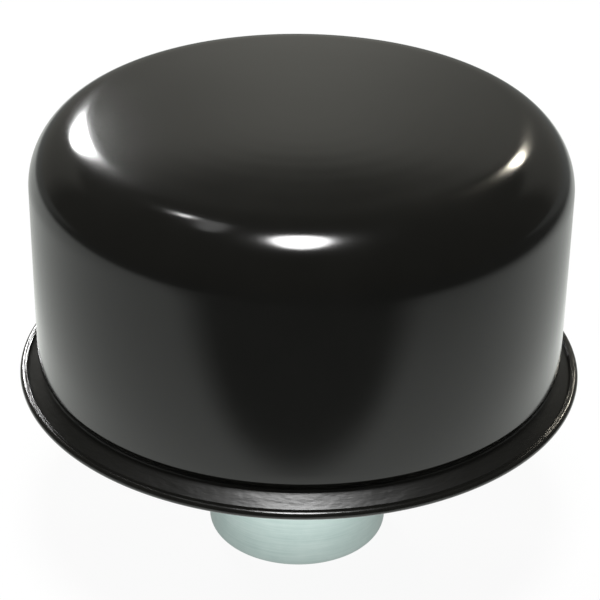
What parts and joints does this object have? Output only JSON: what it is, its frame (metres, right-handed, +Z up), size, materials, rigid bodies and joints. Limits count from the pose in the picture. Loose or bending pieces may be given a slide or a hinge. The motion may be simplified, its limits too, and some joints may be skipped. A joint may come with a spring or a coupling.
{
  "type": "breather cap",
  "caption": "Push-in crankcase breather cap: gloss black drawn steel dome clinched to a vented base pan on a short zinc-plated neck.",
  "frame": {"origin": "centre of the neck's lower end, which is the centre of the bottom of the bounding box", "axes": "+Z up along the neck and the dome; X and Y are equal, because the cap is round"},
  "size_m": [0.0776, 0.0776, 0.0651],
  "materials": {
    "black_enamel": "gloss black baked enamel on drawn steel",
    "pan_enamel": "black enamel on pressed steel, a little less glossy on the floor",
    "zinc": "satin clear zinc plating with a pale blue-green cast",
    "bare_steel": "plain rolled steel sheet, dull",
    "wire": "galvanised knitted wire"
  },
  "bodies": {
    "root": {"cap_shell": "black_enamel", "base_pan": "pan_enamel", "neck_tube": "zinc", "lower_screen": "bare_steel", "inner_screen": "bare_steel", "filter_packing": "wire", "packing_plate": "bare_steel", "splash_baffle": "zinc"}
  },
  "joints": []
}
